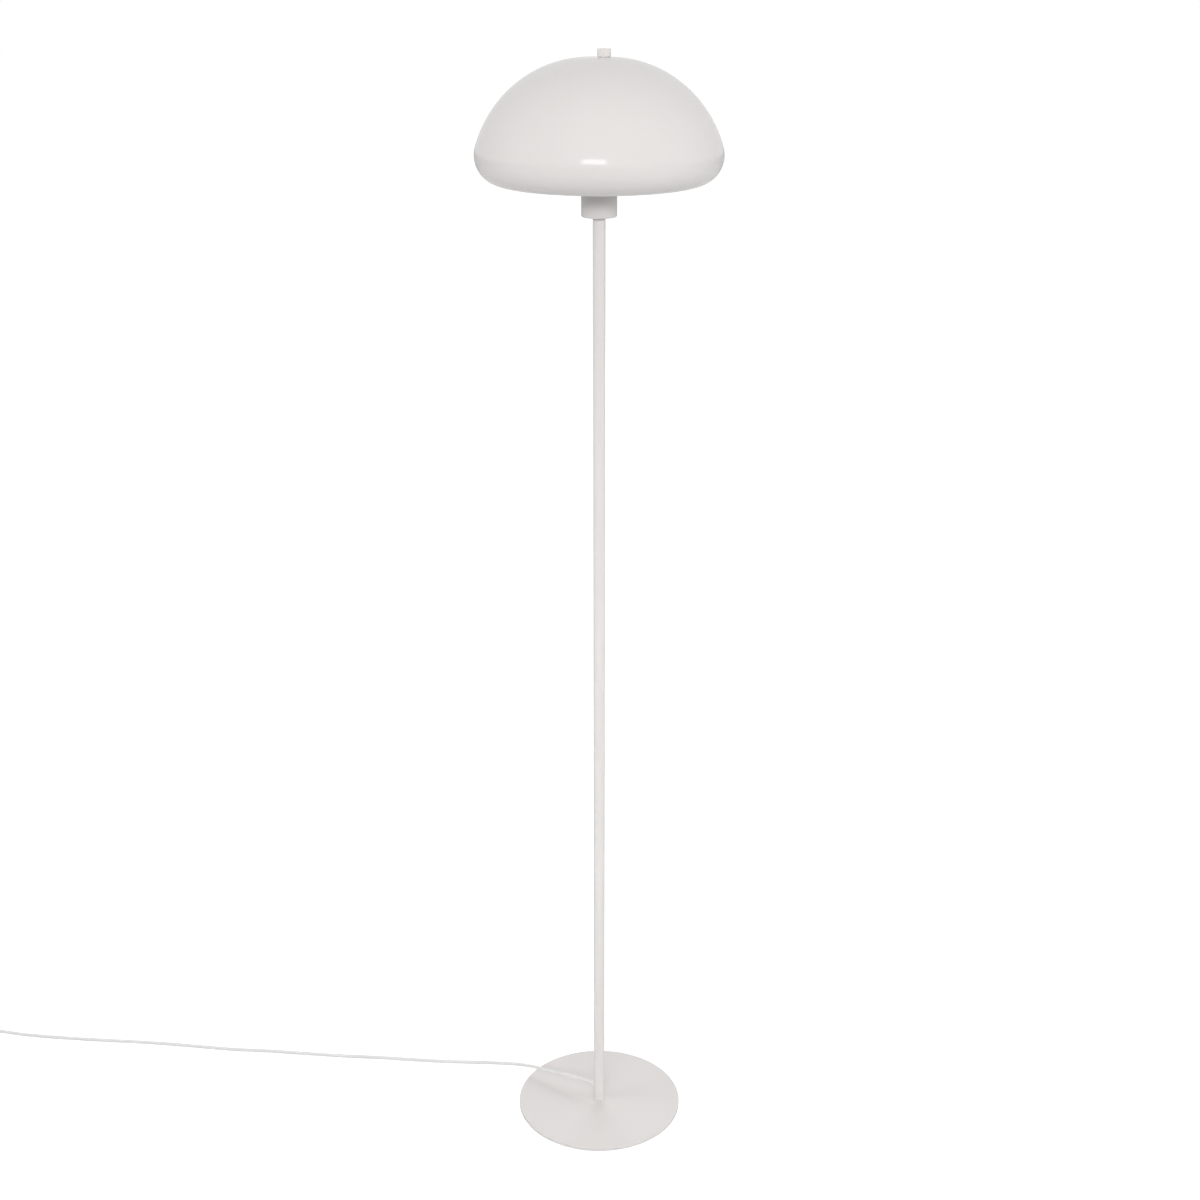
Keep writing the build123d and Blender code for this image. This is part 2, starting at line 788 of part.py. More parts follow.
def plug_pins():
    """Each pin is thin inside its sleeve and full size at its tip."""
    tip = disc(pin_diameter, pin_sleeve_length, pin_length - pin_sleeve_length)
    tip = fillet(tip.edges().group_by(Axis.Z)[-1], pin_diameter / 4)
    core = disc(pin_core_diameter, 0, pin_sleeve_length)
    root = disc(pin_diameter, -pin_depth, pin_depth)
    return Compound(at_pins(root + core + tip))


def pin_sleeves():
    return Compound(at_pins(ring(pin_sleeve_diameter, pin_core_diameter, 0, pin_sleeve_length)))


# ---- cord on the floor ----
def cord_lead():
    away = heading_vector(cord_exit_heading)
    rise = Vector(0, 0, cord_exit_z)
    end = Vector(*switch_end, switch_cord_height)
    start = [away * cord_exit_reach + rise, away * (cord_exit_reach + cord_first_run) + rise]
    before = end - heading_vector(switch_heading) * switch_approach
    return cord_tube("cord_lead", start + cord_to_switch + [before, end])


def cord_middle():
    along = heading_vector(switch_heading)
    start = Vector(*switch_end, switch_cord_height) + along * (2 * sleeve_length + switch_length)
    end = Vector(*coil_start, cord_lay)
    return cord_tube("cord_middle", [start, start + along * switch_leave] + cord_to_coil + [end])


def cord_end():
    start = Vector(*coil_start, cord_lay + coil_layer_rise) + Vector(2 * cord_diameter, 0, 0)
    end = Vector(*plug_position, plug_height / 2)
    return cord_tube("cord_end", [start] + coil_to_plug + [end])


def coil_knot(turns):
    """Place and direction of the coil's line after so many turns from its start."""
    half = coil_turns / 2
    turned_back = turns > half
    radius = coil_outer_radius - coil_pitch * (coil_turns - turns if turned_back else turns)
    shrink = coil_pitch / math.tau * (1 if turned_back else -1)
    if turns in (0, half, coil_turns):
        shrink = 0
    climb = min(max((turns - half) / coil_climb_turns + 1 / 2, 0), 1)
    steepest = coil_climb_steepness * coil_layer_rise / (coil_climb_turns * math.tau)
    slope = steepest if turns == half else 0
    angle = math.pi / 2 - math.tau * turns
    out = Vector(math.cos(angle), math.sin(angle), 0)
    along = Vector(math.sin(angle), -math.cos(angle), 0)
    middle = Vector(coil_start[0] + cord_diameter, coil_start[1] - coil_outer_radius, cord_lay)
    place = middle + out * radius + Vector(0, 0, climb * coil_layer_rise)
    return place, (along * radius + out * shrink + Vector(0, 0, slope)).normalized()


def biarc(start, start_way, end, end_way):
    """Two tangent arcs from one place and direction to the next."""
    gap = end - start
    total = gap.dot(start_way + end_way)
    bend = 2 * (1 - start_way.dot(end_way))
    reach = (math.sqrt(total**2 + bend * gap.dot(gap)) - total) / bend
    first = start + start_way * reach
    second = end - end_way * reach
    joint = (first + second) / 2
    joint_way = (second - first).normalized()
    return [TangentArc(start, joint, tangent=start_way), TangentArc(joint, end, tangent=joint_way)]


def least_self_gap(path, count):
    """The least gap between the cord's turns, measured on points along its middle line."""
    points = [path @ (i / count) for i in range(count + 1)]
    apart = math.ceil(2 * cord_diameter / (path.length / count))
    nearest = min((a - b).length for i, a in enumerate(points) for b in points[i + apart :])
    return nearest - cord_diameter


def cord_coil():
    """The put-away length: loops that spiral in on the floor and out again on top."""
    quarters = [coil_knot(quarter / 4) for quarter in range(4 * coil_turns + 1)]
    start, end = quarters[0][0], quarters[-1][0]
    lead = Vector(cord_diameter, 0, 0)
    edges = [Line(start - lead, start)]
    for (place, way), (next_place, next_way) in zip(quarters, quarters[1:]):
        edges += biarc(place, way, next_place, next_way)
    edges.append(Line(end, end + lead))
    path = Wire(edges)
    section = Plane(start - lead, z_dir=(1, 0, 0)) * Circle(cord_diameter / 2)
    coil = sweep(section, path)
    area = math.pi * cord_diameter**2 / 4
    print(f"cord_coil: length {path.length:.1f}, least self gap {least_self_gap(path, gap_samples):.2f}")
    print(f"cord_coil: volume over section times length {coil.volume / (area * path.length):.4f}")
    return coil


parts = {
    "base_pad": base_pad(),
    "base_plate": base_plate(),
    "base_screw": base_screw(),
    "pole_foot_bush": pole_foot_bush(),
    "pole_coupler_lower": pole_coupler(1),
    "pole_coupler_upper": pole_coupler(2),
    "pole_top_bush": pole_top_bush(),
    "cable_grommet": cable_grommet(),
    "pole_cable": pole_cable(),
    "top_spacer": top_spacer(),
    "cup": cup(),
    "nipple": nipple(),
    "lock_washer": lock_washer(),
    "nipple_nut": nipple_nut(),
    "holder_cap": holder_cap(),
    "holder_sleeve": holder_sleeve(),
    "contact_block": contact_block(),
    "terminal_screws": terminal_screws(),
    "wire_ends": wire_ends(),
    "centre_contact": centre_contact(),
    "side_contact": side_contact(),
    "threaded_shell": threaded_shell(),
    "bulb_tip": bulb_tip(),
    "bulb_insulator": bulb_insulator(),
    "bulb_cap": bulb_cap(),
    "bulb_glass": bulb_glass(),
    "shade_bracket": shade_bracket(),
    "bracket_stud": bracket_stud(),
    "seat_washer": seat_washer(),
    "shade": shade(),
    "finial_washer": finial_washer(),
    "finial": finial(),
    "cord_lead": cord_lead(),
    "switch_base": switch_base(),
    "switch_cover": switch_cover(),
    "switch_screws": switch_screws(),
    "switch_button": switch_button(),
    "switch_spring": switch_spring(),
    "switch_block": switch_block(),
    "switch_contacts": switch_contacts(),
    "switch_sleeves": switch_sleeves(),
    "cord_middle": cord_middle(),
    "cord_coil": cord_coil(),
    "cord_end": cord_end(),
    "plug_sleeve": plug_sleeve(),
    "plug_body": plug_body(),
    "plug_pins": plug_pins(),
    "pin_sleeves": pin_sleeves(),
}
for index, name in enumerate(pole_sections):
    parts[name] = pole_section(index)

os.makedirs("parts", exist_ok=True)
for name, solid in parts.items():
    export_step(solid, f"parts/{name}.step")
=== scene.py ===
import json
import math

import bmesh
import bpy
from bpy.props import FloatProperty, FloatVectorProperty, IntProperty, PointerProperty
from bpy.types import Operator, Panel, PropertyGroup
from mathutils import Matrix, Vector


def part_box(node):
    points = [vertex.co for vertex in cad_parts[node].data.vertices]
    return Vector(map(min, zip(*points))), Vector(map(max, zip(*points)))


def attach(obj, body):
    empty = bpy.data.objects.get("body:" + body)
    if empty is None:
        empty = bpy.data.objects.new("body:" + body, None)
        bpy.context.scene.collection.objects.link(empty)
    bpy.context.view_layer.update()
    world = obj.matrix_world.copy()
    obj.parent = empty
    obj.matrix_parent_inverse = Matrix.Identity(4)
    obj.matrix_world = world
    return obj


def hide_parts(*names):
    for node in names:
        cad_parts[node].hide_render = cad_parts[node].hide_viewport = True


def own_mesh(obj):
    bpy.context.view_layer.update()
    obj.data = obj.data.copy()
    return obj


bl_info = {
    "name": "Mushroom Floor Lamp",
    "version": (1, 0, 0),
    "blender": (4, 5, 0),
    "location": "View3D > Sidebar > Floor Lamp",
    "description": "Builds the finished pieces, materials and studio of a mushroom floor lamp",
    "category": "Add Mesh",
}

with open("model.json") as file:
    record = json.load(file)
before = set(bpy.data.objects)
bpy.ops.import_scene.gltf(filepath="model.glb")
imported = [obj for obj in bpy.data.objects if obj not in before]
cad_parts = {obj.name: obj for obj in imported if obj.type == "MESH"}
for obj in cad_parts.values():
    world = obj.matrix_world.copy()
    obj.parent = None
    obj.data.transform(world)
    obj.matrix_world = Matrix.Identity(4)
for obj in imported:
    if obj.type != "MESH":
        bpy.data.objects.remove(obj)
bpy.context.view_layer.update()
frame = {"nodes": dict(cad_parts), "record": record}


def across(node):
    """How wide a round piece of the frame is."""
    low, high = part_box(node)
    return high.x - low.x


def bottom(node):
    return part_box(node)[0].z


def top(node):
    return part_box(node)[1].z


# ---- sizes and colours that a user may change ----
def length(name, description, default):
    return FloatProperty(
        name=name, description=description, default=default, min=0.0001, precision=4, unit="LENGTH"
    )


def colour(name, description, default):
    return FloatVectorProperty(
        name=name, description=description, default=default, min=0, max=1, size=3, subtype="COLOR"
    )


class LampSizes(PropertyGroup):
    base_diameter: length("Base", "Diameter of the round base plate", across("base_plate"))
    base_edge: length("Base edge", "Rounding of the base plate's edge", 0.0006)
    pole_diameter: length("Pole", "Diameter of the pole", across("pole_upper"))
    pole_wall: length("Pole wall", "Thickness of the pole's tube", 0.0012)
    pole_chamfer: length("Pole seam", "Chamfer at the ends of the pole's tubes", 0.00015)
    cup_diameter: length("Cup", "Diameter of the cup round the lampholder", across("cup"))
    cup_edge: length("Cup edge", "Rounding of the cup's lower edge", 0.002)
    sheet: length("Sheet", "Thickness of the cup's and the shade's sheet metal", 0.001)
    finial_diameter: length("Finial", "Diameter of the nut on the shade", across("finial"))
    finial_chamfer: length("Finial edge", "Chamfer on the nut's edges", 0.0004)
    cord_diameter: length("Cord", "Diameter of the mains cord", 0.005)
    round_steps: IntProperty(
        name="Steps", description="Faces round a turned piece", default=128, min=24, max=512
    )
    shade_steps: IntProperty(
        name="Shade steps", description="Faces round the shade", default=256, min=48, max=720
    )


class LampColours(PropertyGroup):
    enamel: colour("Enamel", "Warm white paint of the lamp", (0.79, 0.765, 0.75))
    cord: colour("Cord", "Soft white sheath of the cord", (0.82, 0.815, 0.81))
    fitting: colour("Fittings", "Moulded switch, plug and grommet", (0.84, 0.83, 0.81))
    holder: colour("Lampholder", "Heat-proof plastic of the lampholder", (0.80, 0.79, 0.76))
    block: colour("Contact block", "Cream plastic under the bulb", (0.78, 0.72, 0.62))
    steel: colour("Zinc-plated steel", "Hidden screws, bushes and nuts", (0.56, 0.56, 0.57))
    brass: colour("Brass", "Contacts", (0.72, 0.53, 0.25))
    shell: colour("Aluminium", "Bulb cap, threaded shell and plug pins", (0.74, 0.74, 0.75))
    felt: colour("Felt", "Pad under the base", (0.30, 0.30, 0.30))
    bulb: colour("Bulb", "Frosted glass", (0.90, 0.89, 0.87))
    insulator: colour("Insulator", "Black glass round the bulb's contact", (0.02, 0.02, 0.022))
    washer: colour("Washers", "Plastic washers on both sides of the shade", (0.66, 0.65, 0.63))
    wire: colour("Wires", "Sheath of the wire ends in the lampholder", (0.25, 0.12, 0.06))
    spring: colour("Spring", "Spring wire in the foot switch", (0.6, 0.6, 0.62))


def power(name, description, default):
    return FloatProperty(name=name, description=description, default=default, min=0, unit="POWER")


class LampStudio(PropertyGroup):
    sky: FloatProperty(name="Sky", description="Even light from all round", default=0.43, min=0)
    gloss: FloatProperty(
        name="Sky in gloss", description="How bright the surroundings show in gloss", default=0.82, min=0
    )
    front: power("Front", "Softbox beside the camera, the one that shows in the paint", 10.5)
    strip: power("Strip", "Wide softbox behind the camera", 72)
    left: power("Left", "Softbox to the left", 50)
    right: power("Right", "Softbox to the right", 64)
    back: power("Back", "Softbox behind the lamp", 86)
    low: power("Low", "Narrow beam along the pole", 0.95)
    overhead: power("Overhead", "Softbox above", 8)
    lens: FloatProperty(name="Lens", description="Focal length", default=52.44, min=1, unit="CAMERA")


# ---- the camera, the softboxes and the floor ----
CAMERA_PLACE = (0, -2.212, 1.628)
CAMERA_PITCH = 20.37  # degrees below level
CAMERA_SHIFT = 0.0007  # share of the picture's width that the lamp stands left of its middle

# each softbox: its place, where it points, its size, its beam in degrees
SOFTBOXES = {
    "front": ((-0.22, -2.6, 2.29), (0, 0, 1.39), (1, 0.66), 180),
    "strip": ((0, -4.5, 2.5), (0, 0, 1.35), (5, 0.5), 180),
    "left": ((-4.6, -1, 2.8), (0, 0, 1.2), (3, 3), 180),
    "right": ((4.6, -1, 2.5), (0, 0, 1.2), (3, 3), 180),
    "back": ((0, 4.6, 3.2), (0, 0, 1.2), (4, 3), 180),
    "low": ((-0.5, -4.5, 0.35), (0, 0, 0.5), (2, 0.5), 22),
    "overhead": ((0, 0.2, 5), (0, 0, 0), (3, 3), 180),
}

FLOOR_RADIUS = 30
FLOOR_PAINT = (0.6, 0.6, 0.6, 1)
FLOOR_IN_GLOSS = 0.22  # glow that mirrors in the paint
FLOOR_IN_VIEW = 0.78  # glow that makes the floor white for the camera


# ---- materials ----
NOISE_RANGE = (0.3, 0.7)  # the values between which most of a noise lies


def new_material(name):
    """A material, its nodes and its shader."""
    material = bpy.data.materials.new(name)
    material.use_nodes = True
    tree = material.node_tree
    return material, tree, tree.nodes["Principled BSDF"]


def noise(tree, scale, detail=3.0, stretch=(1, 1, 1)):
    """A noise that sits on the piece itself."""
    place = tree.nodes.new("ShaderNodeTexCoord")
    mapping = tree.nodes.new("ShaderNodeMapping")
    mapping.inputs["Scale"].default_value = stretch
    texture = tree.nodes.new("ShaderNodeTexNoise")
    texture.inputs["Scale"].default_value = scale
    texture.inputs["Detail"].default_value = detail
    tree.links.new(place.outputs["Object"], mapping.inputs["Vector"])
    tree.links.new(mapping.outputs["Vector"], texture.inputs["Vector"])
    return texture.outputs["Fac"]


def uneven(tree, factor, shader, low, high):
    """Drives a shader's roughness from a noise, between two values."""
    spread = tree.nodes.new("ShaderNodeMapRange")
    spread.inputs["From Min"].default_value = NOISE_RANGE[0]
    spread.inputs["From Max"].default_value = NOISE_RANGE[1]
    spread.inputs["To Min"].default_value = low
    spread.inputs["To Max"].default_value = high
    tree.links.new(factor, spread.inputs["Value"])
    tree.links.new(spread.outputs["Result"], shader.inputs["Roughness"])


def mottled(tree, factor, shader, base, darker):
    """Drives a shader's colour from a noise, between a share of the colour and all of it."""
    ramp = tree.nodes.new("ShaderNodeValToRGB")
    ramp.color_ramp.elements[0].position = NOISE_RANGE[0]
    ramp.color_ramp.elements[1].position = NOISE_RANGE[1]
    ramp.color_ramp.elements[0].color = [c * darker for c in base] + [1]
    ramp.color_ramp.elements[1].color = list(base) + [1]
    tree.links.new(factor, ramp.inputs["Fac"])
    tree.links.new(ramp.outputs["Color"], shader.inputs["Base Color"])


def bumped(tree, factor, shader, strength, depth):
    """Raises the surface by a noise, by up to a depth in metres."""
    bump = tree.nodes.new("ShaderNodeBump")
    bump.inputs["Strength"].default_value = strength
    bump.inputs["Distance"].default_value = depth
    tree.links.new(factor, bump.inputs["Height"])
    tree.links.new(bump.outputs["Normal"], shader.inputs["Normal"])


def painted(name, base, roughness):
    """Sprayed gloss enamel: a faint orange peel and a hardly uneven tone."""
    material, tree, shader = new_material(name)
    mottled(tree, noise(tree, 9), shader, base, darker=0.985)
    uneven(tree, noise(tree, 35), shader, low=roughness - 0.01, high=roughness + 0.02)
    bumped(tree, noise(tree, 420, 2), shader, strength=0.015, depth=0.0002)
    return material


def moulded(name, base, roughness, grain=900):
    """Moulded plastic with the fine grain of its mould."""
    material, tree, shader = new_material(name)
    mottled(tree, noise(tree, 30), shader, base, darker=0.985)
    uneven(tree, noise(tree, 120), shader, low=roughness - 0.04, high=roughness + 0.05)
    bumped(tree, noise(tree, grain, 2), shader, strength=0.04, depth=0.0002)
    return material


def metal(name, base, roughness, stretch=(1, 1, 1)):
    """Bare or plated metal with an uneven polish."""
    material, tree, shader = new_material(name)
    shader.inputs["Metallic"].default_value = 1
    mottled(tree, noise(tree, 60, 4), shader, base, darker=0.88)
    polish = noise(tree, 300, 4, stretch)
    uneven(tree, polish, shader, low=roughness - 0.07, high=roughness + 0.09)
    bumped(tree, polish, shader, strength=0.15, depth=0.0001)
    return material


def felted(name, base):
    """Pressed felt: dark and light fibres and a soft sheen."""
    material, tree, shader = new_material(name)
    fibres = noise(tree, 1400, 6)
    mottled(tree, fibres, shader, base, darker=0.45)
    bumped(tree, fibres, shader, strength=0.9, depth=0.0006)
    shader.inputs["Roughness"].default_value = 0.95
    shader.inputs["Sheen Weight"].default_value = 0.35
    return material


def frosted(name, base):
    """Etched glass that lets a third of the light through."""
    material, tree, shader = new_material(name)
    mottled(tree, noise(tree, 20), shader, base, darker=0.98)
    uneven(tree, noise(tree, 90), shader, low=0.32, high=0.42)
    bumped(tree, noise(tree, 1500, 2), shader, strength=0.1, depth=0.0001)
    shader.inputs["Transmission Weight"].default_value = 0.35
    shader.inputs["IOR"].default_value = 1.45
    return material


def dark_glass(name, base):
    """Cast glass, nearly black."""
    material, tree, shader = new_material(name)
    mottled(tree, noise(tree, 200), shader, base, darker=0.6)
    uneven(tree, noise(tree, 300), shader, low=0.1, high=0.2)
    return material


materials = {}


def make_materials():
    """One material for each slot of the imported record."""
    tones = bpy.context.scene.lamp_colours
    materials.update(
        lamp_white=painted("gloss enamel", tones.enamel, 0.09),
        steel=metal("zinc plate", tones.steel, 0.38),
        pad_felt=felted("pressed felt", tones.felt),
        cord_white=moulded("cord sheath", tones.cord, 0.42, 1500),
        fitting_white=moulded("moulded fitting", tones.fitting, 0.26),
        holder_white=moulded("lampholder plastic", tones.holder, 0.45),
        block_cream=moulded("contact block plastic", tones.block, 0.4),
        contact_brass=metal("contact brass", tones.brass, 0.3),
        shell_metal=metal("drawn aluminium", tones.shell, 0.3, (1, 1, 6)),
        bulb_frosted=frosted("frosted glass", tones.bulb),
        insulator_black=dark_glass("black glass", tones.insulator),
        washer_clear=moulded("washer plastic", tones.washer, 0.35),
        wire_brown=moulded("wire sheath", tones.wire, 0.4),
        spring_steel=metal("spring wire", tones.spring, 0.25),
    )


# ---- fits and threads that several pieces share, in metres ----
FIT_GAP = 0.00005
STUD_OFFSET = 0.006  # the stud and all that sits on it stand this far right of the axis
NIPPLE_HOLE = 0.00505  # radius of the holes for the nipple
STUD_HOLE = 0.00305  # radius of the threaded or close holes on the stud
SHADE_HOLE = 0.0033  # radius of the shade's and its upper washer's hole
FINE_PITCH = 0.001
FINE_DEPTH = 0.0005
SCREW_CAP_PITCH = 0.00363
SCREW_CAP_DEPTH = 0.0007
CORD_HOLE = 0.00255  # radius of the hole in a cord sleeve

SHARP_ANGLE = 35  # edges that turn by more degrees stay sharp


# ---- shapes ----
def finished(name, mesh, slot, body, *nodes):
    """Turns a mesh into a piece that rides on a body and stands for nodes of the frame."""
    if not mesh.faces:
        raise RuntimeError(f"{name} came out empty")
    for face in mesh.faces:
        face.smooth = True
    for edge in mesh.edges:
        flat = len(edge.link_faces) == 2 and edge.calc_face_angle(0) < math.radians(SHARP_ANGLE)
        edge.smooth = flat
    data = bpy.data.meshes.new(name)
    mesh.to_mesh(data)
    mesh.free()
    piece = bpy.data.objects.new(name, data)
    data.materials.append(materials[slot])
    bpy.context.scene.collection.objects.link(piece)
    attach(piece, body)
    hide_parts(*nodes)
    return piece


def spun(outline, rounding=None, steps=0, closed=True):
    """A turned piece from (radius, height) points; rounding gives the radius at some corners."""
    steps = steps or bpy.context.scene.lamp_sizes.round_steps
    mesh = bmesh.new()
    line = [mesh.verts.new((radius, 0, height)) for radius, height in outline]
    for pair in zip(line, line[1:]):
        mesh.edges.new(pair)
    if closed:
        mesh.edges.new((line[-1], line[0]))
    for corner, radius in (rounding or {}).items():
        bmesh.ops.bevel(
            mesh,
            geom=[line[corner]],
            offset=radius,
            offset_type="OFFSET",
            segments=5,
            profile=0.5,
            affect="VERTICES",
            material=-1,
        )
    bmesh.ops.spin(
        mesh,
        geom=mesh.verts[:] + mesh.edges[:],
        cent=(0, 0, 0),
        axis=(0, 0, 1),
        angle=math.tau,
        steps=steps,
        use_merge=True,
    )
    bmesh.ops.remove_doubles(mesh, verts=mesh.verts, dist=1e-6)
    bmesh.ops.recalc_face_normals(mesh, faces=mesh.faces)
    return mesh


def threaded(mesh, low, high, pitch, depth, near):
    """Rolls a thread into the wall that stands at a radius, fading out at both ends."""
    for vert in mesh.verts:
        radius = math.hypot(vert.co.x, vert.co.y)
        if abs(radius - near) > depth / 2 or not low <= vert.co.z <= high:
            continue
        turn = (vert.co.z - low) / pitch - math.atan2(vert.co.y, vert.co.x) / math.tau
        fade = min(1, (vert.co.z - low) / pitch, (high - vert.co.z) / pitch)
        cut = depth * fade * (0.5 - 0.5 * math.cos(math.tau * turn))
        vert.co.x *= (radius - cut) / radius
        vert.co.y *= (radius - cut) / radius
    return mesh


def wall(radius, low, high, step):
    """Points up a wall, close enough together to take a thread."""
    count = math.ceil((high - low) / step)
    return [(radius, low + (high - low) * i / count) for i in range(count + 1)]


def ring_outline(outer, inner, low, high):
    return [(inner, low), (outer, low), (outer, high), (inner, high)]


def ring(node, outer, inner, edge, steps=0):
    """A ring or tube as high as a node of the frame, with its outer edges rounded."""
    return spun(ring_outline(outer, inner, bottom(node), top(node)), {1: edge, 2: edge}, steps)


def moved(mesh, x=0.0, y=0.0, z=0.0, heading=0.0, tilt=0.0):
    """Tips a mesh from +Z towards +X, turns it to a heading and moves it."""
    place = Matrix.Translation((x, y, z)) @ Matrix.Rotation(math.radians(heading), 4, "Z")
    place @= Matrix.Rotation(math.radians(tilt), 4, "Y")
    bmesh.ops.transform(mesh, matrix=place, verts=mesh.verts)
    return mesh


def joined(*meshes):
    """Several meshes as one."""
    whole = meshes[0]
    for mesh in meshes[1:]:
        data = bpy.data.meshes.new("part of a piece")
        mesh.to_mesh(data)
        mesh.free()
        whole.from_mesh(data)
        bpy.data.meshes.remove(data)
    return whole


def copied(node):
    """The frame's own shape of a piece, merged so that it shades smoothly."""
    mesh = bmesh.new()
    mesh.from_mesh(frame["nodes"][node].data)
    bmesh.ops.remove_doubles(mesh, verts=mesh.verts, dist=2e-6)
    return mesh


def arc(middle, radius, start, end, steps):
    """Points on an arc; the angles are the outline's slope, level at 0 and straight down at 90."""
    angles = [math.radians(start + (end - start) * i / steps) for i in range(steps + 1)]
    return [(middle[0] + radius * math.sin(a), middle[1] + radius * math.cos(a)) for a in angles]


class PieceOperator:
    bl_options = {"REGISTER", "UNDO"}

    def execute(self, context):
        self.build(context.scene.lamp_sizes)
        return {"FINISHED"}


class LAMP_OT_studio(Operator):
    """Set the camera, the floor, the white surroundings and the softboxes"""

    bl_idname = "lamp.studio"
    bl_label = "Studio"
    bl_options = {"REGISTER", "UNDO"}

    def execute(self, context):
        studio = context.scene.lamp_studio
        view = bpy.data.cameras.new("view")
        view.lens = studio.lens
        view.sensor_width = 36
        view.shift_x = CAMERA_SHIFT
        camera = bpy.data.objects.new("view", view)
        camera.location = CAMERA_PLACE
        camera.rotation_euler = (math.radians(90 - CAMERA_PITCH), 0, 0)
        context.scene.collection.objects.link(camera)
        context.scene.camera = camera
        context.scene.view_settings.view_transform = "Standard"
        self.floor(context)
        self.sky(context, studio)
        for name, (place, aim, size, beam) in SOFTBOXES.items():
            light = bpy.data.lights.new(f"{name} softbox", "AREA")
            light.shape = "RECTANGLE"
            light.size, light.size_y = size
            light.spread = math.radians(beam)
            light.energy = getattr(studio, name)
            lamp = bpy.data.objects.new(light.name, light)
            lamp.location = place
            lamp.rotation_euler = (Vector(aim) - Vector(place)).to_track_quat("-Z", "Y").to_euler()
            # the paint mirrors only the front one; the others light it without showing
            lamp.visible_glossy = name == "front"
            context.scene.collection.objects.link(lamp)
        return {"FINISHED"}

    def floor(self, context):
        """A white floor that gloss sees darker than the camera does, and that is clear from below."""
        mesh = bmesh.new()
        bmesh.ops.create_circle(mesh, cap_ends=True, segments=96, radius=FLOOR_RADIUS)
        data = bpy.data.meshes.new("studio floor")
        mesh.to_mesh(data)
        mesh.free()
        floor = bpy.data.objects.new("studio floor", data)
        context.scene.collection.objects.link(floor)
        material = bpy.data.materials.new("studio floor")
        material.use_nodes = True
        tree = material.node_tree
        tree.nodes.clear()
        paint = tree.nodes.new("ShaderNodeBsdfDiffuse")
        paint.inputs["Color"].default_value = FLOOR_PAINT
        lift = self.level(tree, 0, FLOOR_IN_GLOSS, "Is Glossy Ray")
        lift = self.level(tree, lift, FLOOR_IN_VIEW, "Is Camera Ray", "Is Transmission Ray")
        glow = tree.nodes.new("ShaderNodeEmission")
        both = tree.nodes.new("ShaderNodeAddShader")
        side = tree.nodes.new("ShaderNodeNewGeometry")
        clear = tree.nodes.new("ShaderNodeBsdfTransparent")
        one_sided = tree.nodes.new("ShaderNodeMixShader")
        out = tree.nodes.new("ShaderNodeOutputMaterial")
        tree.links.new(lift, glow.inputs["Strength"])
        tree.links.new(paint.outputs[0], both.inputs[0])
        tree.links.new(glow.outputs[0], both.inputs[1])
        tree.links.new(side.outputs["Backfacing"], one_sided.inputs["Fac"])
        tree.links.new(both.outputs[0], one_sided.inputs[1])
        tree.links.new(clear.outputs[0], one_sided.inputs[2])
        tree.links.new(one_sided.outputs[0], out.inputs["Surface"])
        data.materials.append(material)

    def level(self, tree, start, other, *rays):
        """A number that takes another value for the rays that are named."""
        ray = tree.nodes.new("ShaderNodeLightPath")
        for name in rays:
            mix = tree.nodes.new("ShaderNodeMix")
            if isinstance(start, (int, float)):
                mix.inputs[2].default_value = start
            else:
                tree.links.new(start, mix.inputs[2])
            mix.inputs[3].default_value = other
            tree.links.new(ray.outputs[name], mix.inputs[0])
            start = mix.outputs[0]
        return start

    def sky(self, context, studio):
        """Even light all round, which the camera sees as white and gloss a little darker."""
        world = bpy.data.worlds.new("studio sky")
        world.use_nodes = True
        tree = world.node_tree
        light = tree.nodes["Background"]
        light.inputs["Color"].default_value = (1, 1, 1, 1)
        level = self.level(tree, studio.sky, studio.gloss, "Is Glossy Ray")
        level = self.level(tree, level, 1, "Is Camera Ray", "Is Transmission Ray")
        tree.links.new(level, light.inputs["Strength"])
        context.scene.world = world


# ---- the cord's route, in metres ----
CORD_LAY = 0.0026  # height of the cord's line where it lies on the floor
SWITCH_CORD_HEIGHT = 0.0055  # its height where it enters and leaves the foot switch
LEAD_ROUTE = [
    (-0.00758, 0.00447, 0.029),
    (-0.0326, 0.0192, 0.029),
    (-0.0707, 0.0416, 0.0225),
    (-0.110, 0.0645, 0.0185),
    (-0.150, 0.085, 0.007),
    (-0.190, 0.094, CORD_LAY),
    (-0.238, 0.0955, CORD_LAY),
    (-0.295, 0.101, CORD_LAY),
    (-0.350, 0.107, CORD_LAY),
    (-0.404, 0.1105, CORD_LAY),
    (-0.462, 0.117, CORD_LAY),
    (-0.520, 0.124, CORD_LAY),
    (-0.572, 0.127, CORD_LAY),
    (-0.626, 0.1345, CORD_LAY),
    (-0.684, 0.143, CORD_LAY),
    (-0.742, 0.149, CORD_LAY),
    (-0.800, 0.1535, CORD_LAY),
    (-0.862, 0.160, CORD_LAY),
    (-0.918, 0.1675, CORD_LAY),
    (-0.9615, 0.1739, SWITCH_CORD_HEIGHT),
    (-1.003, 0.1805, SWITCH_CORD_HEIGHT),
]
SWITCH_END = (-1.003, 0.1805)  # where the lead enters the foot switch's sleeve
SWITCH_HEADING = 171.0  # degrees from +X to the way that the cord runs through the switch
SWITCH_MIDDLE = 0.057  # from that end to the middle of the button
COIL_MIDDLE = (-1.113, 0.101)
COIL_TURNS = 4
COIL_RADIUS = 0.033
COIL_PITCH = 0.0056  # from one loop to the next, inwards and upwards
STEPS_A_TURN = 16
PLUG_PLACE = (-1.063, 0.088)
PLUG_HEIGHT = 0.00685
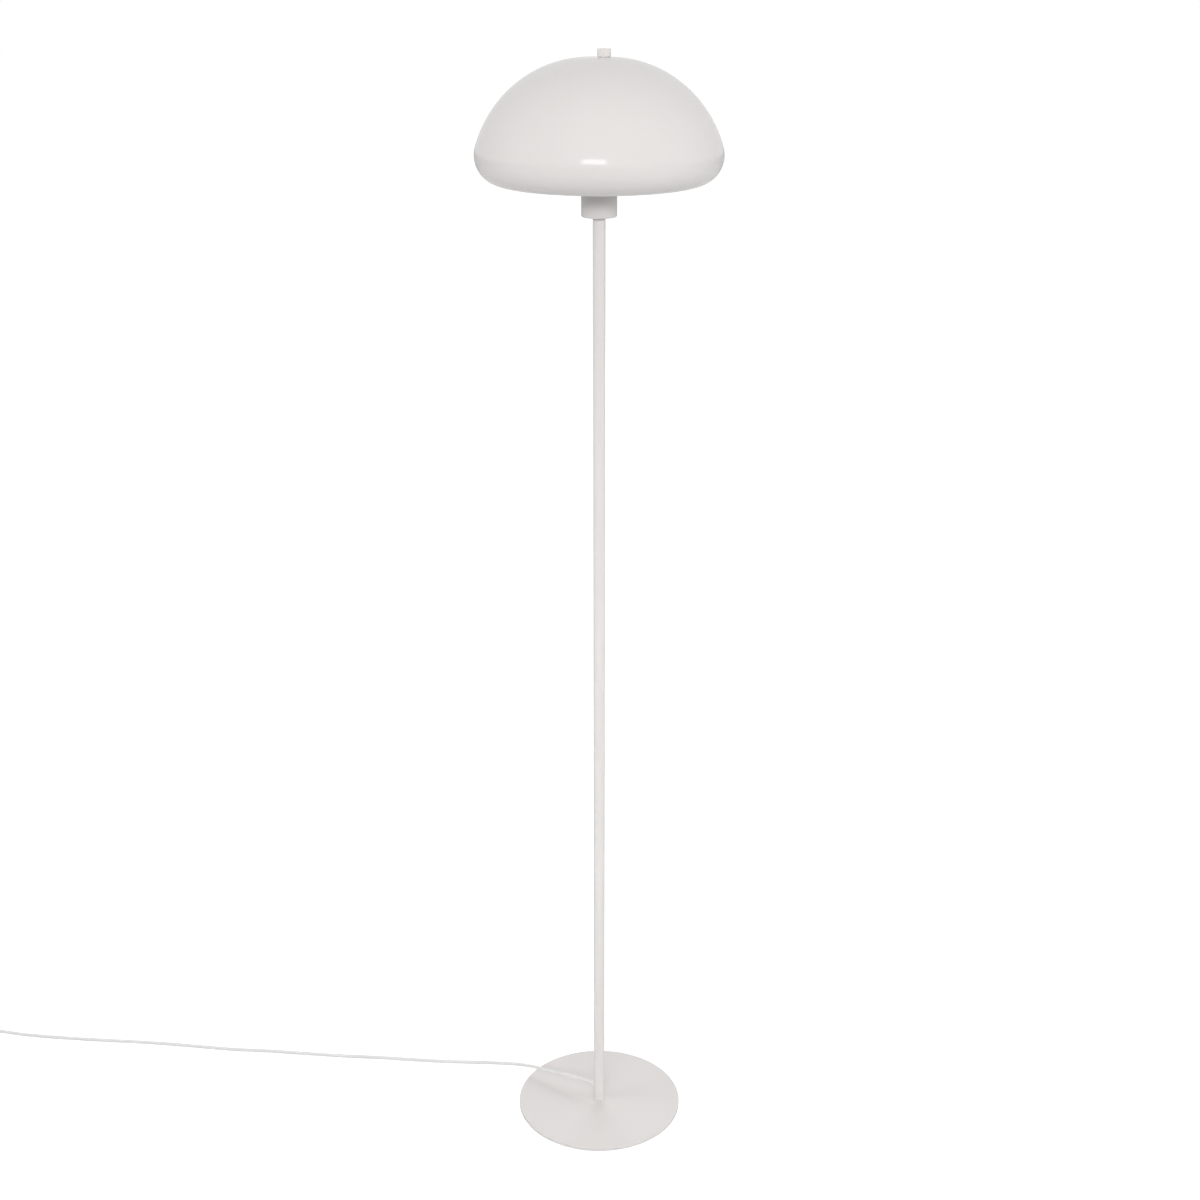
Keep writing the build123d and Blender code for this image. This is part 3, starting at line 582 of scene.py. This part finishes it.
TO_COIL = [
    (-1.1156, 0.19833, SWITCH_CORD_HEIGHT),
    (-1.1403, 0.2022, SWITCH_CORD_HEIGHT),
    (-1.163, 0.184, 0.0036),
    (-1.165, 0.155, CORD_LAY),
    (-1.145, 0.134, CORD_LAY),
    (-1.118, 0.134, CORD_LAY),
]
TO_PLUG = [
    (-1.108, 0.134, CORD_LAY + COIL_PITCH),
    (-1.082, 0.134, CORD_LAY + COIL_PITCH),
    (-1.063, 0.114, PLUG_HEIGHT),
    (-1.063, 0.088, PLUG_HEIGHT),
]


class LAMP_OT_cord(PieceOperator, Operator):
    """Lay the mains cord from the pole to its foot switch, coil and plug"""

    bl_idname = "lamp.cord"
    bl_label = "Mains cord"

    def build(self, sizes):
        self.lay(sizes, "mains_cord", LEAD_ROUTE, "cord_lead")
        route = TO_COIL + self.coil() + TO_PLUG
        self.lay(sizes, "plug_cord", route, "cord_middle", "cord_coil", "cord_end")

    def coil(self):
        """Loops that spiral in on the floor and out again on top."""
        half = COIL_TURNS / 2
        points = []
        for step in range(1, COIL_TURNS * STEPS_A_TURN):
            turns = step / STEPS_A_TURN
            back = turns > half
            radius = COIL_RADIUS - COIL_PITCH * (COIL_TURNS - turns if back else turns)
            # the line cuts inside its points, so they stand a little farther out
            radius /= 0.5 + 0.5 * math.cos(math.tau / STEPS_A_TURN)
            climb = min(max((turns - half) / 0.5 + 0.5, 0), 1)
            angle = math.pi / 2 - math.tau * turns
            x = COIL_MIDDLE[0] + radius * math.cos(angle)
            y = COIL_MIDDLE[1] + radius * math.sin(angle)
            points.append((x, y, CORD_LAY + climb * COIL_PITCH))
        return points

    def lay(self, sizes, name, route, *nodes):
        """A round cord along a smooth line that the route's points steer."""
        line = bpy.data.curves.new(name, "CURVE")
        line.dimensions = "3D"
        line.bevel_depth = sizes.cord_diameter / 2
        line.bevel_resolution = 6
        line.use_fill_caps = True
        spline = line.splines.new("NURBS")
        spline.points.add(len(route) - 1)
        for point, place in zip(spline.points, route):
            point.co = (*place, 1)
        spline.order_u = 3
        spline.use_endpoint_u = True
        spline.resolution_u = 10
        cord = bpy.data.objects.new(name, line)
        line.materials.append(materials["cord_white"])
        bpy.context.scene.collection.objects.link(cord)
        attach(cord, "stand")
        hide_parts(*nodes)


class LAMP_OT_base(PieceOperator, Operator):
    """Turn the round base plate, its felt pad and its screw"""

    bl_idname = "lamp.base"
    bl_label = "Base"

    def build(self, sizes):
        radius = sizes.base_diameter / 2
        low, high = bottom("base_plate"), top("base_plate")
        hole, sink, depth = 0.0042, 0.0082, 0.004
        steps = 192
        outline = [(hole, high), (radius, high), (radius, low), (sink, low), (hole, low + depth)]
        edges = {1: sizes.base_edge, 2: sizes.base_edge}
        plate = spun(outline, edges, steps)
        finished("base_disc", plate, "lamp_white", "stand", "base_plate")
        pad_outline = ring_outline(across("base_pad") / 2, 0.011, 0, low)
        pad = spun(pad_outline, {1: 0.0003}, steps)
        finished("felt_pad", pad, "pad_felt", "stand", "base_pad")
        finished("base_bolt", copied("base_screw"), "steel", "stand", "base_screw")


class LAMP_OT_pole(PieceOperator, Operator):
    """Turn the pole's three tubes and set the bush that the cord leaves through"""

    bl_idname = "lamp.pole"
    bl_label = "Pole"

    def build(self, sizes):
        outer = sizes.pole_diameter / 2
        inner = outer - sizes.pole_wall
        for name in ("lower", "middle", "upper"):
            node = f"pole_{name}"
            tube = ring(node, outer, inner, sizes.pole_chamfer)
            finished(f"tube_{name}", tube, "lamp_white", "stand", node)
        finished("exit_bush", copied("cable_grommet"), "fitting_white", "stand", "cable_grommet")


class LAMP_OT_cup(PieceOperator, Operator):
    """Turn the cup round the lampholder, with its spacer, nipple and nut"""

    bl_idname = "lamp.cup"
    bl_label = "Cup"

    def build(self, sizes):
        outer = sizes.cup_diameter / 2
        inner = outer - sizes.sheet
        low, high = bottom("cup"), top("cup")
        floor = low + sizes.sheet
        outline = [(NIPPLE_HOLE, low), (outer, low), (outer, high)]
        outline += [(inner, high), (inner, floor), (NIPPLE_HOLE, floor)]
        lip = 0.00035
        edges = {1: sizes.cup_edge, 2: lip, 3: lip, 4: sizes.cup_edge - sizes.sheet}
        finished("holder_cup", spun(outline, edges), "lamp_white", "stand", "cup")
        spacer = ring("top_spacer", across("top_spacer") / 2, NIPPLE_HOLE, 0.0003)
        finished("spacer_ring", spacer, "lamp_white", "stand", "top_spacer")
        low, high = bottom("nipple"), top("nipple")
        bore, radius = 0.0035, 0.005
        tube = [(bore, low)] + wall(radius, low, high, FINE_PITCH / 8) + [(bore, high)]
        nipple = threaded(spun(tube, steps=48), low, high, FINE_PITCH, FINE_DEPTH, radius)
        finished("threaded_nipple", nipple, "steel", "stand", "nipple")
        finished("hex_nut", copied("nipple_nut"), "steel", "stand", "nipple_nut")
        washer = ring("lock_washer", 0.009, NIPPLE_HOLE, 0.0001)
        finished("washer_disc", washer, "steel", "stand", "lock_washer")


class LAMP_OT_holder(PieceOperator, Operator):
    """Turn the lampholder and its threaded shell, and set the contact block under the bulb"""

    bl_idname = "lamp.holder"
    bl_label = "Lampholder"

    def build(self, sizes):
        radius, room, neck, throat = 0.018, 0.016, 0.008, 0.007
        low, high = bottom("holder_cap"), top("holder_cap")
        cap = [(NIPPLE_HOLE, low), (neck, low), (neck, low + 0.007), (radius, low + 0.014)]
        cap += [(radius, high), (room, high), (room, low + 0.016)]
        cap += [(throat, low + 0.009), (NIPPLE_HOLE, low + 0.009)]
        rounds = {1: 0.0006, 3: 0.0015, 4: 0.0003}
        finished("holder_top", spun(cap, rounds), "holder_white", "stand", "holder_cap")
        low, high = bottom("holder_sleeve"), top("holder_sleeve")
        mouth, seat = 0.01395, top("contact_block") + FIT_GAP
        sleeve = [(room, low), (radius, low), (radius, high)]
        sleeve += [(mouth, high), (mouth, seat), (room, seat)]
        rounds = {1: 0.0003, 2: 0.0008, 3: 0.0006}
        finished("holder_skirt", spun(sleeve, rounds), "holder_white", "stand", "holder_sleeve")
        low, high = bottom("threaded_shell"), top("threaded_shell")
        step = 0.00045
        outer = wall(0.0139, low, high, step)
        inner = wall(0.0134, low, high, step)
        shell = spun(outer + inner[::-1], steps=64)
        finished("screw_shell", shell, "shell_metal", "stand", "threaded_shell")
        finished("contact_disc", copied("contact_block"), "block_cream", "stand", "contact_block")


class LAMP_OT_bulb(PieceOperator, Operator):
    """Turn the frosted bulb with its screw cap"""

    bl_idname = "lamp.bulb"
    bl_label = "Bulb"

    def build(self, sizes):
        low, high = bottom("bulb_tip"), top("bulb_tip")
        tip_radius, cap_foot = 0.0045, 0.0126
        tip = [(0, low), (tip_radius, low), (tip_radius, high), (0, high)]
        tip = spun(tip, {1: 0.0008}, steps=48)
        finished("bulb_contact", tip, "contact_brass", "bulb_tip", "bulb_tip")
        rim = top("bulb_insulator")
        cone = [(0, high), (tip_radius, high), (cap_foot, rim), (0, rim)]
        cone = spun(cone, {1: 0.0004}, steps=64)
        finished("bulb_black_glass", cone, "insulator_black", "bulb", "bulb_insulator")
        end = top("bulb_cap")
        outer, inner, sheet = 0.0131, 0.0119, 0.0005
        can = [(0, rim), (cap_foot, rim)] + wall(outer, rim + sheet, end, 0.0003)
        can += [(inner, end), (inner, rim + sheet), (0, rim + sheet)]
        thread_end = rim + 0.0165
        cap = spun(can, steps=96)
        threaded(cap, rim + 0.001, thread_end, SCREW_CAP_PITCH, SCREW_CAP_DEPTH, outer)
        finished("bulb_screw_cap", cap, "shell_metal", "bulb", "bulb_cap")
        finished("bulb_envelope", self.glass(end), "bulb_frosted", "bulb", "bulb_glass")

    def glass(self, cap_end):
        """The pear-shaped glass: a ball, a straight flank and a neck inside the cap."""
        ball, shoulder, neck, thickness = 0.030, 0.0145, 0.01185, 0.0008
        middle = top("bulb_glass") - ball
        low = cap_end + FIT_GAP
        drop = middle - low
        touch = math.atan2(shoulder, drop) + math.acos(ball / math.hypot(shoulder, drop))
        sections = []
        for inset in (0, thickness):
            line = arc((0, middle), ball - inset, 0, 180 - math.degrees(touch), 40)
            line += [(shoulder - inset, low + inset), (neck - inset, low + inset)]
            line.append((neck - inset, cap_end - 0.007))
            sections.append(line)
        outer, inner = sections
        last = len(outer) - 1
        rounds = {last - 1: 0.0015, last: 0.0003}
        return spun(outer + inner[::-1], rounds, steps=96, closed=False)


class LAMP_OT_bracket(PieceOperator, Operator):
    """Dress the strap over the bulb, its stud and the seat of the shade"""

    bl_idname = "lamp.bracket"
    bl_label = "Shade bracket"

    def build(self, sizes):
        finished("strap_loop", copied("shade_bracket"), "lamp_white", "stand", "shade_bracket")
        low, high = bottom("bracket_stud"), top("bracket_stud")
        shank = low + 0.0015
        head, radius, chamfer = 0.005, 0.003, 0.0004
        stud = [(0, low), (head, low), (head, shank)]
        stud += wall(radius, shank, high - chamfer, FINE_PITCH / 8)
        stud += [(radius - chamfer, high), (0, high)]
        mesh = spun(stud, {1: 0.0004}, steps=48)
        threaded(mesh, shank + 0.0012, high - 0.0002, FINE_PITCH, FINE_DEPTH, radius)
        finished("finial_stud", moved(mesh, x=STUD_OFFSET), "steel", "stand", "bracket_stud")
        washer = moved(ring("seat_washer", 0.009, STUD_HOLE, 0.0002, steps=64), x=STUD_OFFSET)
        finished("seat_disc", washer, "washer_clear", "stand", "seat_washer")


# the shade's section, from the crown down: each arc's radius, the slope that it ends at, its steps
SHADE_ARCS = ((0.125, 10.0, 6), (0.1465, 74.0, 56), (0.0346, 200.0, 56))
SHADE_LAND = 0.016  # radius of the flat land on the crown


class LAMP_OT_shade(PieceOperator, Operator):
    """Spin the mushroom shade with its hole for the stud"""

    bl_idname = "lamp.shade"
    bl_label = "Shade"

    def outline(self, inset):
        """The section from the flat land on the crown to the end of the rolled rim."""
        x, z, slope = SHADE_LAND, top("shade") - inset, 0.0
        points = [(x, z)]
        for radius, end, steps in SHADE_ARCS:
            radius -= inset
            turn = math.radians(slope)
            middle = (x - radius * math.sin(turn), z - radius * math.cos(turn))
            points += arc(middle, radius, slope, end, steps)[1:]
            x, z = points[-1]
            slope = end
        return points

    def build(self, sizes):
        outer = self.outline(0)
        inner = self.outline(sizes.sheet)
        last = len(outer) - 1
        lip = 0.00045
        edges = {last: lip, last + 1: lip}
        mesh = spun(outer + inner[::-1], edges, sizes.shade_steps, closed=False)
        holes = []
        for height in (top("shade"), top("shade") - sizes.sheet):
            rim = [e for e in mesh.edges if e.is_boundary and abs(e.verts[0].co.z - height) < 1e-5]
            made = bmesh.ops.create_circle(
                mesh,
                cap_ends=False,
                segments=sizes.shade_steps,
                radius=SHADE_HOLE,
                matrix=Matrix.Translation((STUD_OFFSET, 0, height)),
            )
            hole = list(dict.fromkeys(e for v in made["verts"] for e in v.link_edges))
            bmesh.ops.bridge_loops(mesh, edges=rim + hole)
            holes += hole
        bmesh.ops.bridge_loops(mesh, edges=holes)
        bmesh.ops.recalc_face_normals(mesh, faces=mesh.faces)
        finished("mushroom_shade", mesh, "lamp_white", "shade", "shade")


class LAMP_OT_finial(PieceOperator, Operator):
    """Turn the nut that holds the shade, and its washer"""

    bl_idname = "lamp.finial"
    bl_label = "Finial"

    def build(self, sizes):
        radius = sizes.finial_diameter / 2
        low, high = bottom("finial"), top("finial")
        deep = low + 0.007
        outline = [(STUD_HOLE, low), (radius, low), (radius, high)]
        outline += [(0, high), (0, deep), (STUD_HOLE, deep)]
        edges = {1: sizes.finial_chamfer, 2: sizes.finial_chamfer}
        nut = moved(spun(outline, edges), x=STUD_OFFSET)
        finished("finial_nut", nut, "lamp_white", "finial", "finial")
        washer = moved(ring("finial_washer", 0.0075, SHADE_HOLE, 0.0002, steps=64), x=STUD_OFFSET)
        finished("finial_disc", washer, "washer_clear", "finial_washer", "finial_washer")


# a cord sleeve's groove: where its corners are, as shares of a rib, and how deep they lie
GROOVE = ((0, 0), (0.15, 0.0007), (0.45, 0.0007), (0.6, 0))


def ribbed_boot(end, ribs, small=0.0035, large=0.005):
    """A tapered cord sleeve along +Z with ring grooves that let it bend."""
    outline = [(CORD_HOLE, 0), (small, 0)]
    step = end * 0.8 / ribs
    for rib in range(ribs):
        for share, cut in GROOVE:
            height = 0.0012 + rib * step + step * share
            outline.append((small + (large - small) * height / end - cut, height))
    outline += [(large, end), (CORD_HOLE, end)]
    return spun(outline, steps=48)


class LAMP_OT_switch(PieceOperator, Operator):
    """Mould the foot switch on the cord"""

    bl_idname = "lamp.foot_switch"
    bl_label = "Foot switch"

    def placed(self, mesh, along=SWITCH_MIDDLE):
        """Moves a mesh from the origin to the switch, some way along from the switch's end."""
        turn = math.radians(SWITCH_HEADING)
        x = SWITCH_END[0] + along * math.cos(turn)
        y = SWITCH_END[1] + along * math.sin(turn)
        return moved(mesh, x=x, y=y, heading=SWITCH_HEADING)

    def eased(self, node, seam):
        """The frame's shape with a fine chamfer round the seam between the two halves."""
        mesh = copied(node)
        edges = [e for e in mesh.edges if all(abs(v.co.z - seam) < 1e-5 for v in e.verts)]
        corners = [e for e in edges if e.calc_face_angle(0) > math.radians(60)]
        bmesh.ops.bevel(
            mesh,
            geom=corners,
            offset=0.00025,
            offset_type="OFFSET",
            segments=1,
            profile=0.5,
            affect="EDGES",
            material=-1,
        )
        return mesh

    def build(self, sizes):
        seam = bottom("switch_cover")
        for name, node in (("switch_cover_shell", "switch_cover"), ("switch_tray", "switch_base")):
            finished(name, self.eased(node, seam), "fitting_white", "stand", node)
        low, high = bottom("switch_button"), top("switch_button")
        hollow, collar, radius, dish = 0.009, 0.0128, 0.011, 0.0085
        step = low + 0.0015
        cap = [(0, step), (hollow, step), (hollow, low), (collar, low), (collar, step)]
        cap += [(radius, step), (radius, high), (dish, high)]
        cap += [(0.0078, high - 0.0004), (0, high - 0.0006)]
        button = spun(cap, {6: 0.0012, 7: 0.0003})
        finished("switch_cap", self.placed(button), "fitting_white", "switch_button", "switch_button")
        spring = copied("switch_spring")
        coil = finished("button_spring", spring, "spring_steel", "stand", "switch_spring")
        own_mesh(coil)
        for name, place, heading in (("near", 0, 0), ("far", 2 * SWITCH_MIDDLE, 180)):
            boot = moved(ribbed_boot(0.02, 6), tilt=90)
            moved(boot, x=place, z=SWITCH_CORD_HEIGHT, heading=heading)
            finished(f"{name}_boot", self.placed(boot, 0), "cord_white", "stand", "switch_sleeves")


class LAMP_OT_plug(PieceOperator, Operator):
    """Mould the plug at the cord's end"""

    bl_idname = "lamp.plug"
    bl_label = "Plug"

    def placed(self, mesh):
        """Moves a mesh from the origin, where its cord comes in, to the end of the cord."""
        return moved(mesh, x=PLUG_PLACE[0], y=PLUG_PLACE[1], z=PLUG_HEIGHT, heading=-90)

    def build(self, sizes):
        finished("plug_shell", copied("plug_body"), "fitting_white", "stand", "plug_body")
        boot = moved(ribbed_boot(0.024, 7), tilt=90)
        finished("plug_boot", self.placed(boot), "cord_white", "stand", "plug_sleeve")
        face = 0.058  # from the cord's end to the face that the pins stand on
        radius, core, sleeve = 0.002, 0.0015, 0.0018
        root, cover, end = -0.01, 0.01, 0.019
        pin = [(0, root), (radius, root), (radius, 0), (core, 0), (core, cover), (radius, cover)]
        pin += [(radius, end), (0, end)]
        prongs = []
        sleeves = []
        for side in (-0.0093, 0.0093):
            mesh = moved(spun(pin, {6: 0.0011}, steps=32), tilt=90)
            prongs.append(moved(mesh, x=face, y=side))
            mesh = moved(spun(ring_outline(sleeve, core, 0, cover), steps=32), tilt=90)
            sleeves.append(moved(mesh, x=face, y=side))
        finished("plug_prongs", self.placed(joined(*prongs)), "shell_metal", "stand", "plug_pins")
        finished("prong_sleeves", self.placed(joined(*sleeves)), "fitting_white", "stand", "pin_sleeves")


class LAMP_OT_hidden(Operator):
    """Give the pieces inside the lamp their materials"""

    bl_idname = "lamp.hidden_pieces"
    bl_label = "Hidden pieces"
    bl_options = {"REGISTER", "UNDO"}

    def execute(self, context):
        slots = {row["node"]: row["material_slot"] for row in frame["record"]["subparts"]}
        for node, piece in frame["nodes"].items():
            if not piece.hide_render:
                piece.data.materials.clear()
                piece.data.materials.append(materials[slots[node]])
        return {"FINISHED"}


class LAMP_PT_panel(Panel):
    """The lamp's sizes, colours and pieces"""

    bl_idname = "LAMP_PT_panel"
    bl_label = "Floor Lamp"
    bl_space_type = "VIEW_3D"
    bl_region_type = "UI"
    bl_category = "Floor Lamp"

    def draw(self, context):
        layout = self.layout
        for operator in OPERATORS:
            layout.operator(operator.bl_idname)
        for group in (context.scene.lamp_sizes, context.scene.lamp_colours, context.scene.lamp_studio):
            box = layout.box()
            for name in group.__annotations__:
                box.prop(group, name)


GROUPS = {"lamp_sizes": LampSizes, "lamp_colours": LampColours, "lamp_studio": LampStudio}
OPERATORS = [
    LAMP_OT_studio,
    LAMP_OT_cord,
    LAMP_OT_base,
    LAMP_OT_pole,
    LAMP_OT_cup,
    LAMP_OT_holder,
    LAMP_OT_bulb,
    LAMP_OT_bracket,
    LAMP_OT_shade,
    LAMP_OT_finial,
    LAMP_OT_switch,
    LAMP_OT_plug,
    LAMP_OT_hidden,
]


def register():
    for name, group in GROUPS.items():
        bpy.utils.register_class(group)
        setattr(bpy.types.Scene, name, PointerProperty(type=group))
    for operator in OPERATORS:
        bpy.utils.register_class(operator)
    bpy.utils.register_class(LAMP_PT_panel)


def unregister():
    bpy.utils.unregister_class(LAMP_PT_panel)
    for operator in reversed(OPERATORS):
        bpy.utils.unregister_class(operator)
    for name, group in GROUPS.items():
        delattr(bpy.types.Scene, name)
        bpy.utils.unregister_class(group)


def main():
    register()
    make_materials()
    for operator in OPERATORS:
        group, name = operator.bl_idname.split(".")
        getattr(getattr(bpy.ops, group), name)()


if __name__ == "__main__":
    main()
